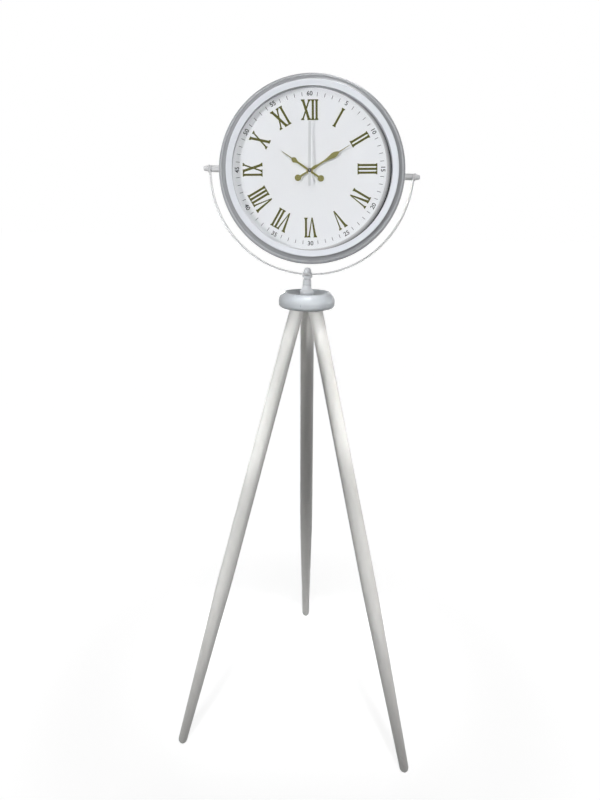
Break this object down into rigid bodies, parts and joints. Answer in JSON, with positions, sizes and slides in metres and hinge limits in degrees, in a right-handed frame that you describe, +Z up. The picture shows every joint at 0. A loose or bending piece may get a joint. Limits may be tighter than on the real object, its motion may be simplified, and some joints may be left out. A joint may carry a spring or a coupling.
{
  "type": "tripod floor clock",
  "caption": "White floor clock: a round head with gold roman numerals tilts in a half-ring yoke on a turned post and hub with splayed round legs; quartz movement behind glass.",
  "frame": {"origin": "on the floor, under the middle of the whole clock's box", "axes": "+Z up; the dial faces -Y; +X to the right seen from the front"},
  "size_m": [0.5343, 0.4921, 1.5049],
  "materials": {
    "white_wood": "satin white paint on turned wood",
    "white_metal": "satin white paint",
    "bezel_paint": "satin cool white paint",
    "ring_metal": "pale grey satin moulding",
    "zinc_steel": "zinc plated",
    "insert_brass": "plain brass",
    "clear_glass": "clear",
    "dark_felt": "black felt",
    "dial_face": "printed paper on hardboard",
    "gold_hands": "satin old gold",
    "silver_hand": "satin silver",
    "black_plastic": "moulded grain",
    "gear_plastic": "natural acetal",
    "magnet": "dark magnet and steel arbor",
    "copper_wire": "enamelled copper wire",
    "board_green": "solder mask",
    "cell_jacket": "plain sleeve, no print",
    "black_rubber": "matt"
  },
  "bodies": {
    "stand": {"hub": "white_wood", "leg_left": "white_wood", "leg_right": "white_wood", "leg_rear": "white_wood", "leg_bolts": "zinc_steel", "leg_inserts": "insert_brass", "post": "white_metal", "post_stud": "zinc_steel", "post_insert": "insert_brass", "yoke_stud": "zinc_steel", "yoke_washers": "zinc_steel", "finial": "white_metal"},
    "yoke": {"yoke": "white_metal"},
    "head": {"pivot_spacers": "white_metal", "pivot_washers": "zinc_steel", "pivot_studs": "zinc_steel", "pivot_nuts": "zinc_steel", "pivot_knobs": "white_metal", "case_drum": "white_metal", "case_ring": "ring_metal", "bezel": "bezel_paint", "glass": "clear_glass", "spacer_ring": "bezel_paint", "dial_felt": "dark_felt", "dial": "dial_face", "back_cover": "white_metal", "back_screws": "zinc_steel", "movement_front": "black_plastic", "movement_back": "black_plastic", "middle_plate": "gear_plastic", "movement_washer": "black_rubber", "movement_nut": "insert_brass", "stator": "zinc_steel", "coil_bobbin": "black_plastic", "coil_winding": "copper_wire", "circuit_board": "board_green", "crystal": "zinc_steel", "battery": "cell_jacket", "battery_contacts": "zinc_steel"},
    "second": {"second_hand": "silver_hand", "second_wheel": "gear_plastic"},
    "minute": {"minute_hand": "gold_hands", "hand_nut": "insert_brass", "minute_wheel": "gear_plastic"},
    "hour": {"hour_hand": "gold_hands", "hour_wheel": "gear_plastic"},
    "third": {"third_wheel": "gear_plastic"},
    "motion": {"motion_wheel": "gear_plastic", "set_knob": "black_plastic"},
    "step": {"step_wheel": "gear_plastic"},
    "rotor": {"rotor": "magnet"}
  },
  "joints": [
    {"name": "yoke_swivel", "type": "hinge", "parent": "stand", "child": "yoke", "pos_m": [0.01508, -0.06095, 1.056], "axis": [0.0223, 0, 0.9998], "continuous": true},
    {"name": "head_tilt", "type": "hinge", "parent": "yoke", "child": "head", "pos_m": [0.02083, -0.06095, 1.31344], "axis": [0.9998, 0, -0.0223], "continuous": true},
    {"name": "second_hand_turn", "type": "hinge", "parent": "head", "child": "second", "pos_m": [0.01558, -0.08143, 1.31571], "axis": [-0.0025, 0.994, -0.1097], "continuous": true},
    {"name": "minute_hand_turn", "type": "hinge", "parent": "head", "child": "minute", "pos_m": [0.01558, -0.08143, 1.31571], "axis": [-0.0025, 0.994, -0.1097], "continuous": true},
    {"name": "hour_hand_turn", "type": "hinge", "parent": "head", "child": "hour", "pos_m": [0.01558, -0.08143, 1.31571], "axis": [-0.0025, 0.994, -0.1097], "continuous": true},
    {"name": "third_wheel_turn", "type": "hinge", "parent": "head", "child": "third", "pos_m": [0.02006, -0.0808, 1.32132], "axis": [-0.0025, 0.994, -0.1097], "continuous": true},
    {"name": "motion_wheel_turn", "type": "hinge", "parent": "head", "child": "motion", "pos_m": [0.00658, -0.08148, 1.31548], "axis": [-0.0025, 0.994, -0.1097], "continuous": true},
    {"name": "step_wheel_turn", "type": "hinge", "parent": "head", "child": "step", "pos_m": [0.01272, -0.08081, 1.32141], "axis": [-0.0025, 0.994, -0.1097], "continuous": true},
    {"name": "rotor_turn", "type": "hinge", "parent": "head", "child": "rotor", "pos_m": [0.00724, -0.08062, 1.32323], "axis": [-0.0025, 0.994, -0.1097], "continuous": true}
  ],
  "couplings": [
    {"joint": "third_wheel_turn", "follows": "second_hand_turn", "ratio": -0.125},
    {"joint": "minute_hand_turn", "follows": "second_hand_turn", "ratio": 0.016667},
    {"joint": "motion_wheel_turn", "follows": "second_hand_turn", "ratio": -0.0055556},
    {"joint": "hour_hand_turn", "follows": "second_hand_turn", "ratio": 0.0013889},
    {"joint": "step_wheel_turn", "follows": "second_hand_turn", "ratio": -4},
    {"joint": "rotor_turn", "follows": "second_hand_turn", "ratio": 30}
  ]
}
